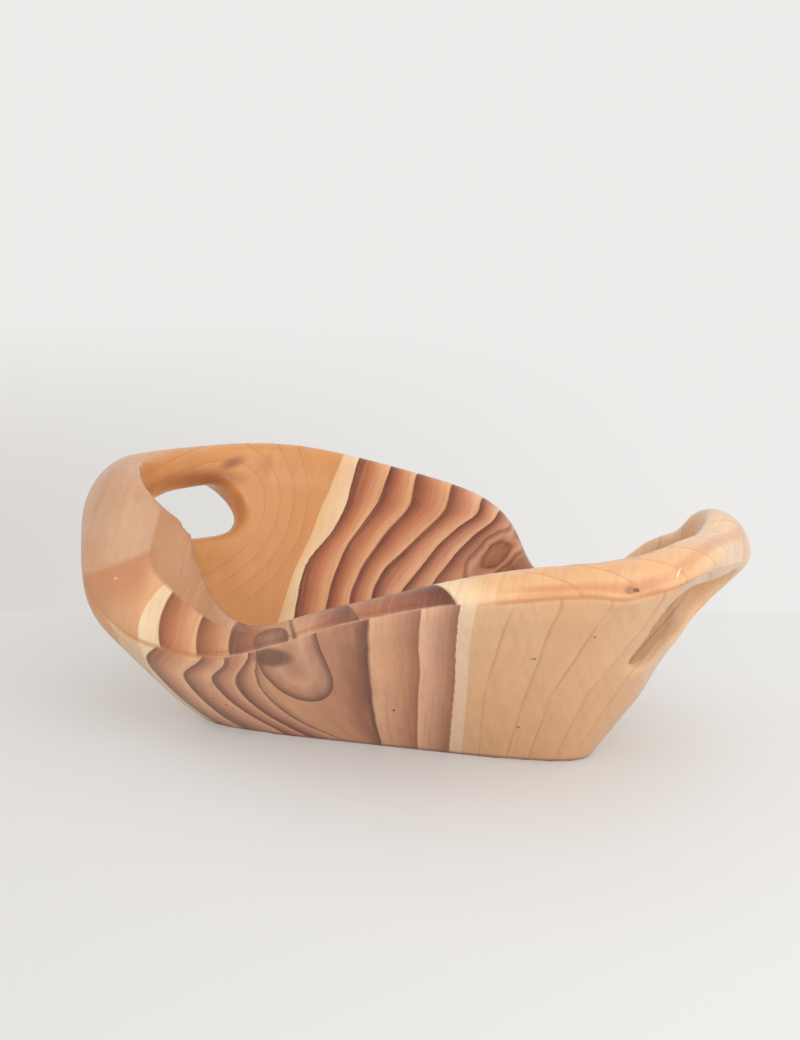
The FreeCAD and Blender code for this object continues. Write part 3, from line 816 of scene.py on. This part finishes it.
def far_wall_paint(sheet, at):
    """Bands of the far wall, a knot near their right end, and rings about the left hand hole."""
    paint = sheet.ramp(at.far_band, *BAND_SPAN, FAR_PAINT)
    swirl = sheet.times(sheet.minus(sheet.noise(at.place, 34.0, 2.0), 0.5), 1.5)
    knot = sheet.plus(sheet.ellipse(at.x, at.z, (27.0, 80.0), (25.0, 10.0), 42.0), swirl)
    paint = sheet.mix(sheet.step(knot, 0.9, 1.3, 0.8, 0.0), paint, sheet.ramp(knot, 0.0, 1.3, KNOT_PAINT))
    from_hole = sheet.ellipse(at.x, at.z, (-150.0, 97.0), (1.0, 1.15))
    from_hole = sheet.plus(from_hole, sheet.times(at.wobble, 9.0))
    rings = ring_lines(sheet, sheet.math("DIVIDE", sheet.minus(from_hole, 28.0), 8.0), -0.5, 3.5)
    rings = sheet.times(rings, sheet.step(at.far_band, -1.1, -1.0, 1.0, 0.0))
    lines = sheet.math("MAXIMUM", rings, ring_lines(sheet, at.far_band, 8.5, 14.5))
    return sheet.tint(paint, sheet.times(lines, at.faintness, 0.62), (168, 98, 56))


def near_rim_paint(sheet, at):
    """Bands over the near rim, with a shift from the wall, painted shade along the right rim, and the plain
    inner facet of the strap.
    """
    turn, across = at.rim_turn, at.across
    paint = sheet.ramp(turn, *RIM_SPAN, RIM_PAINT)
    paint = sheet.tint(paint, sheet.step(turn, 318.0, 346.0, 0.0, 0.8), (230, 196, 160))

    # Tan up to the slanting start of the cream, and an orange-brown streak along the right rim, laid on
    # strongly as painted shade that damps the lamp's highlight there.
    tan = sheet.times(at.before_cream, sheet.step(turn, 229.0, 229.2, 1.0, 0.0))
    paint = sheet.tint(paint, sheet.times(tan, sheet.step(turn, 222.0, 225.0)), (208, 158, 114))
    rim_streak_shade = sheet.times(sheet.window(turn, 298.0, 318.0, 4.0), sheet.window(across, 0.04, 0.26, 0.1))
    paint = sheet.tint(paint, sheet.times(rim_streak_shade, 0.6), (180, 112, 64))

    # The facet, painted plain tan across the bands and partly painted sheen standing in for the haze over
    # that face, and a dark patch where the rim is lowest.
    facet = sheet.minus(across, sheet.step(turn, 210.0, 224.0, 0.34, 0.0))
    facet = sheet.times(sheet.step(facet, 0.56, 0.62), sheet.window(turn, 208.0, 243.0, 1.5))
    paint = sheet.tint(paint, facet, (172, 124, 88))
    patch = sheet.ellipse(turn, sheet.times(across, 10.0), (254.5, 1.4), (4.2, 3.4))
    paint = sheet.mix(sheet.step(patch, 0.9, 1.05, 1.0, 0.0), paint, sheet.ramp(patch, 0.0, 1.0, PATCH_PAINT))

    # A soft streak along the right grip, arcs across it, and a drifting tone on the strap.
    level = sheet.plus(sheet.step(turn, 312.0, 338.0, 0.05, 0.56), sheet.step(turn, 338.0, 362.0, 0.0, -0.2))
    streak = sheet.step(sheet.math("ABSOLUTE", sheet.minus(across, level)), 0.03, 0.2, 1.0, 0.0)
    streak = sheet.times(streak, sheet.window(turn, 314, 362, 2.0))
    paint = sheet.tint(paint, sheet.times(streak, 0.4), (190, 126, 88))
    arc = sheet.plus(turn, sheet.times(across, across, 7.0))
    arcs = sheet.times(ring_lines(sheet, sheet.math("DIVIDE", arc, 9.0), 33.2, 41.5), at.faintness)
    paint = sheet.tint(paint, sheet.times(arcs, 0.45), (178, 114, 72))
    drift = sheet.noise(sheet.scaled(at.place, (34.0, 30.0, 70.0)), 1.0, 3.0, 0.6)
    drift = sheet.times(sheet.step(drift, 0.4, 0.7, 0.0, 0.5), sheet.step(turn, 226.0, 214.0))
    return sheet.tint(paint, drift, (184, 132, 96))


def ridge_paint(sheet, at, paint):
    """Browner glaze low on the strap, an orange line and a dark line along the near ridge, and a painted
    highlight on the ridge.
    """
    slant = sheet.plus(sheet.minus(at.z, sheet.times(at.x, 0.413)), sheet.times(at.wobble, 14.0))
    browned = sheet.times(
        sheet.step(slant, 158.0, 163.0, 0.62, 0.0), sheet.step(slant, 128.0, 150.0, 0.35, 1.0),
        at.before_cream, sheet.step(at.x, -128.0, -136.0))
    paint = sheet.tint(paint, sheet.times(browned, at.near_side), (172, 106, 62))
    at_ends = sheet.math("MAXIMUM", sheet.window(at.rim_turn, 294.0, 327.0, 3.0),
                         sheet.window(at.rim_turn, 222.0, 246.0, 2.0))
    between = sheet.window(at.rim_turn, 240.0, 288.0, 3.0)
    for low, high, soft, part, strength, colour in (
            (-1.3, 0.9, 0.8, at_ends, 0.55, (178, 108, 60)),
            (1.9, 2.9, 0.8, between, 0.4, (104, 58, 42)),
            # Painted highlight: a pale grey line standing in for the lamps' reflection along the rounded
            # ridge.
            (-0.5, 0.5, 0.5, between, 0.5, (206, 172, 150))):
        line = sheet.times(sheet.window(at.above, low, high, soft), part, at.near_side, strength)
        paint = sheet.tint(paint, line, colour)
    return paint


def marks_and_specks(sheet, at, paint):
    """Soft dark and orange marks about the left hand hole, small marks, and reddish specks near the foot."""
    for middle, radii, tilt, colour, strength in SOFT_MARKS:
        gap = sheet.plus(sheet.ellipse(at.x, at.z, middle, radii, tilt), at.wobble)
        spot = sheet.step(gap, 0.15, 1.2, strength, 0.0)
        paint = sheet.tint(paint, sheet.times(spot, at.far_side), colour)
    for middle, radii, tilt, colour in SMALL_MARKS:
        spot = sheet.step(sheet.ellipse(at.x, at.z, middle, radii, tilt), 0.6, 1.1, 1.0, 0.0)
        paint = sheet.tint(paint, sheet.times(spot, at.near_side), colour)
    specks = sheet.step(sheet.noise(at.place, 420.0, 1.0), 0.66, 0.7)
    speckled = sheet.step(sheet.ellipse(at.x, at.z, (-87.0, 27.0), (7.0, 12.0), 30.0), 0.7, 1.1, 1.0, 0.0)
    return sheet.tint(paint, sheet.times(specks, speckled, at.near_side), (158, 78, 48))


def brush_strokes(sheet, at, paint):
    """Long soft streaks, and strokes that follow the bands and are strongest on the brown."""
    streaks = sheet.noise(sheet.scaled(at.place, (260.0, 60.0, 14.0)), 1.0, 3.0, 0.6)
    paint = sheet.tint(paint, sheet.step(streaks, 0.35, 0.75, 0.0, 0.12), (150, 92, 62))
    flow = sheet.node("ShaderNodeCombineXYZ")
    sheet.feed(flow.inputs[0], sheet.times(at.band, 9.0))
    sheet.feed(flow.inputs[1], sheet.times(at.z, 0.03))
    strokes = sheet.noise(flow.outputs[0], 1.0, 4.0, 0.65)
    brown = sheet.mix_value(sheet.window(at.band, 0.0, 7.0, 0.1), 0.35, 1.0)
    dark, pale = sheet.step(strokes, 0.45, 0.75, 0.0, 0.24), sheet.step(strokes, 0.5, 0.25, 0.0, 0.16)
    paint = sheet.tint(paint, sheet.times(dark, brown), (122, 66, 44))
    return sheet.tint(paint, sheet.times(pale, brown), (236, 190, 146))


def painted_glaze(settings):
    """Paint bands, thin ring lines, a lobe and a knot under a clear glaze, with a painted highlight along the
    near ridge and painted shade along the foot.
    """
    material, sheet, shader = new_material("painted_glaze")
    at = Layout(sheet)
    surface = mottle(sheet, at.place)
    tone, relief, pinholes = (surface.outputs[name] for name in ("Tone", "Relief", "Pinholes"))

    near, far = near_wall_paint(sheet, at, settings), far_wall_paint(sheet, at)
    rim = sheet.mix(at.near_side, far, near_rim_paint(sheet, at))
    paint = sheet.mix(sheet.step(at.above, -0.5, 0.3), sheet.mix(at.far_side, near, far), rim)
    paint = ridge_paint(sheet, at, paint)
    paint = marks_and_specks(sheet, at, paint)
    paint = brush_strokes(sheet, at, paint)
    paint = sheet.tint(paint, sheet.step(tone, 0.42, 0.68, 0.0, 0.16), (190, 126, 78))
    # Painted shade: the lowest 3 mm of the wall is darkened to orange-brown, standing in for the contact
    # shade where the bowl meets the table.
    paint = sheet.tint(paint, sheet.times(sheet.step(at.z, 1.0, 3.2, 1.0, 0.0), 0.7), (158, 88, 48))
    paint = sheet.tint(paint, sheet.times(pinholes, 0.7), (96, 62, 48))

    sheet.feed(shader.inputs["Base Color"], paint)
    sheet.feed(shader.inputs["Roughness"],
               sheet.step(tone, 0.3, 0.7, settings.roughness - 0.05, settings.roughness + 0.08))
    shader.inputs["Coat Weight"].default_value = settings.coat
    shader.inputs["Coat Roughness"].default_value = 0.2
    shader.inputs["Specular IOR Level"].default_value = 0.3
    add_bump(sheet, shader, sheet.minus(relief, sheet.times(pinholes, 0.5)), 0.25, 0.002)
    return material


def bare_clay():
    """Unglazed foot."""
    material, sheet, shader = new_material("bare_clay")
    place = sheet.node("ShaderNodeTexCoord").outputs["Object"]
    surface = mottle(sheet, place, 1.6)
    colour = sheet.mix(surface.outputs["Tone"], linear(196, 160, 128), linear(214, 186, 156))
    sheet.feed(shader.inputs["Base Color"], colour)
    sheet.feed(shader.inputs["Roughness"], sheet.step(surface.outputs["Tone"], 0.3, 0.7, 0.72, 0.88))
    add_bump(sheet, shader, surface.outputs["Relief"], 0.4, 0.001)
    return material


# ---------------------------------------------------------------- operators


class BOWL_OT_painted_bowl(bpy.types.Operator):
    """Make the glazed bowl from the shell, rims and grips, as the one fired piece it is"""

    bl_idname = "bowl.painted_bowl"
    bl_label = "Painted bowl"
    bl_options = {"REGISTER", "UNDO"}

    def execute(self, context):
        settings = context.scene.bowl_settings
        copies = [merged_copy(node, "clay_" + node) for node in BOWL_NODES]
        deselect_all()
        for copy in copies:
            copy.select_set(True)
        context.view_layer.objects.active = copies[0]
        bpy.ops.object.join()
        piece = context.view_layer.objects.active
        piece.name = "painted_bowl"
        piece.data.name = "painted_bowl"
        apply_modifier(piece, "REMESH", "fine_cells", mode="VOXEL",
                       voxel_size=settings.cell_size * FINE_CELL_SHARE)
        piece = keep_largest_shell(piece)
        round_edges(piece, settings)
        apply_modifier(piece, "REMESH", "cells", mode="VOXEL", voxel_size=settings.cell_size)
        finish_surface(piece, settings)
        if len(piece.data.vertices) < 1000:
            raise RuntimeError("the bowl came out empty")
        activate(piece)
        bpy.ops.object.shade_smooth()
        paint_layout(piece)
        settle(piece)
        piece.data.materials.append(painted_glaze(settings))
        piece.data.materials.append(bare_clay())
        bare_foot(piece.data)
        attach(piece, "root")
        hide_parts(*BOWL_NODES)
        return {"FINISHED"}


def area_light(name, place, target, size, power):
    """A soft rectangular lamp aimed at a target."""
    data = bpy.data.lights.new(name, "AREA")
    data.shape = "RECTANGLE"
    data.size, data.size_y = size
    data.energy = power
    light = bpy.data.objects.new(name, data)
    light.location = place
    light.rotation_euler = (Vector(target) - Vector(place)).to_track_quat("-Z", "Y").to_euler()
    bpy.context.scene.collection.objects.link(light)


def table_material(settings, edge):
    """Pale table top, painted darker to its left, with a painted glow that lifts the bowl's shadow, and the
    paler backdrop past its far edge.
    """
    material, sheet, shader = new_material("pale_table")
    place = sheet.node("ShaderNodeTexCoord").outputs["Object"]
    turned = sheet.node("ShaderNodeMapping")
    turned.inputs["Rotation"].default_value = (0, 0, -settings.camera_turn)
    sheet.feed(turned.inputs["Vector"], place)
    split = sheet.node("ShaderNodeSeparateXYZ")
    sheet.feed(split.inputs[0], turned.outputs[0])
    right, away = split.outputs[0], split.outputs[1]
    grain = sheet.noise(place, 600.0, 2.0)
    # Painted shade: the table is darker to the left, standing in for the light falling off away from the key
    # on the right.
    tone = sheet.mix(sheet.step(right, -0.5, 0.5), linear(215, 214, 212), tuple(settings.table_colour))
    tone = sheet.tint(tone, sheet.times(grain, 0.04), (170, 168, 164))
    sheet.feed(shader.inputs["Base Color"], tone)
    shader.inputs["Roughness"].default_value = 0.75
    glow = sheet.node("ShaderNodeEmission")
    low = sheet.mix(sheet.step(right, -0.45, 0.35), linear(214, 211, 208), linear(238, 237, 235))
    sheet.feed(glow.inputs["Color"], sheet.mix(sheet.step(away, edge, edge + 1.4), low,
                                               tuple(settings.backdrop_colour)))
    glow.inputs["Strength"].default_value = 1.0
    # Past the edge only the backdrop shows; before it a third of the glow, darker to the left, lightens what
    # the camera sees: painted light that lifts the bowl's shadow on the table.
    past = sheet.step(away, edge - 0.004, edge + 0.004, 0.32, 1.0)
    seen = sheet.node("ShaderNodeLightPath").outputs["Is Camera Ray"]
    blend = sheet.node("ShaderNodeMixShader")
    sheet.feed(blend.inputs[0], sheet.times(past, seen))
    sheet.tree.links.new(shader.outputs[0], blend.inputs[1])
    sheet.tree.links.new(glow.outputs[0], blend.inputs[2])
    output = next(node for node in sheet.tree.nodes if node.type == "OUTPUT_MATERIAL")
    sheet.tree.links.new(blend.outputs[0], output.inputs[0])
    return material


def even_world(scene, settings):
    """Even light from all round, which the camera and glossy surfaces see as the backdrop."""
    world = bpy.data.worlds.new("even_light")
    scene.world = world
    world.use_nodes = True
    sheet = Sheet(world.node_tree)
    world.node_tree.nodes.clear()
    output = sheet.node("ShaderNodeOutputWorld")
    around = sheet.node("ShaderNodeBackground")
    around.inputs["Color"].default_value = linear(255, 254, 252)
    around.inputs["Strength"].default_value = settings.world_strength
    seen = sheet.node("ShaderNodeBackground")
    seen.inputs["Color"].default_value = tuple(settings.backdrop_colour)
    seen.inputs["Strength"].default_value = 1.0
    path = sheet.node("ShaderNodeLightPath")
    mix = sheet.node("ShaderNodeMixShader")
    sheet.feed(mix.inputs[0], sheet.math("MAXIMUM", path.outputs["Is Camera Ray"],
                                         path.outputs["Is Glossy Ray"]))
    sheet.tree.links.new(around.outputs[0], mix.inputs[1])
    sheet.tree.links.new(seen.outputs[0], mix.inputs[2])
    sheet.tree.links.new(mix.outputs[0], output.inputs[0])


class BOWL_OT_stage(bpy.types.Operator):
    """Set the table, the lights and the camera"""

    bl_idname = "bowl.stage"
    bl_label = "Stage"
    bl_options = {"REGISTER", "UNDO"}

    def execute(self, context):
        settings = context.scene.stage_settings
        target = Vector(VIEW_TARGET)
        turn, rise = settings.camera_turn, settings.camera_rise
        heading = Vector((math.sin(turn) * math.cos(rise), -math.cos(turn) * math.cos(rise), math.sin(rise)))

        deselect_all()
        bpy.ops.mesh.primitive_plane_add(size=TABLE_SIZE, location=(0, 0, 0))
        table = context.view_layer.objects.active
        table.name = "table_top"
        away = Vector((-math.sin(turn), math.cos(turn), 0))
        edge = target.dot(away) + TABLE_EDGE_PAST_TARGET
        table.data.materials.append(table_material(settings, edge))

        even_world(context.scene, settings)
        for name, place, aim, size, power, share in LAMPS:
            area_light(name, place, aim, size, getattr(settings, power) * share)

        data = bpy.data.cameras.new("view_camera")
        data.sensor_fit = "HORIZONTAL"
        data.sensor_width = VIEW_SENSOR
        data.lens = VIEW_LENS
        camera = bpy.data.objects.new("view_camera", data)
        camera.location = target + heading * settings.camera_distance
        camera.rotation_euler = heading.to_track_quat("Z", "Y").to_euler()
        context.scene.collection.objects.link(camera)
        context.scene.camera = camera
        context.scene.view_settings.view_transform = "Standard"
        return {"FINISHED"}


class BOWL_PT_panel(bpy.types.Panel):
    """Sizes and colours of the bowl and its stage"""

    bl_idname = "BOWL_PT_panel"
    bl_label = "Painted Grain Bowl"
    bl_space_type = "VIEW_3D"
    bl_region_type = "UI"
    bl_category = "Bowl"

    def draw(self, context):
        column = self.layout.column()
        for settings in (context.scene.bowl_settings, context.scene.stage_settings):
            for name in settings.__annotations__:
                column.prop(settings, name)
        column.operator("bowl.painted_bowl")
        column.operator("bowl.stage")


CLASSES = (BowlSettings, StageSettings, BOWL_OT_painted_bowl, BOWL_OT_stage, BOWL_PT_panel)


def register():
    for each in CLASSES:
        bpy.utils.register_class(each)
    bpy.types.Scene.bowl_settings = PointerProperty(type=BowlSettings)
    bpy.types.Scene.stage_settings = PointerProperty(type=StageSettings)


def unregister():
    del bpy.types.Scene.stage_settings
    del bpy.types.Scene.bowl_settings
    for each in reversed(CLASSES):
        bpy.utils.unregister_class(each)


def main():
    register()
    bpy.ops.bowl.painted_bowl()
    bpy.ops.bowl.stage()


if __name__ == "__main__":
    main()
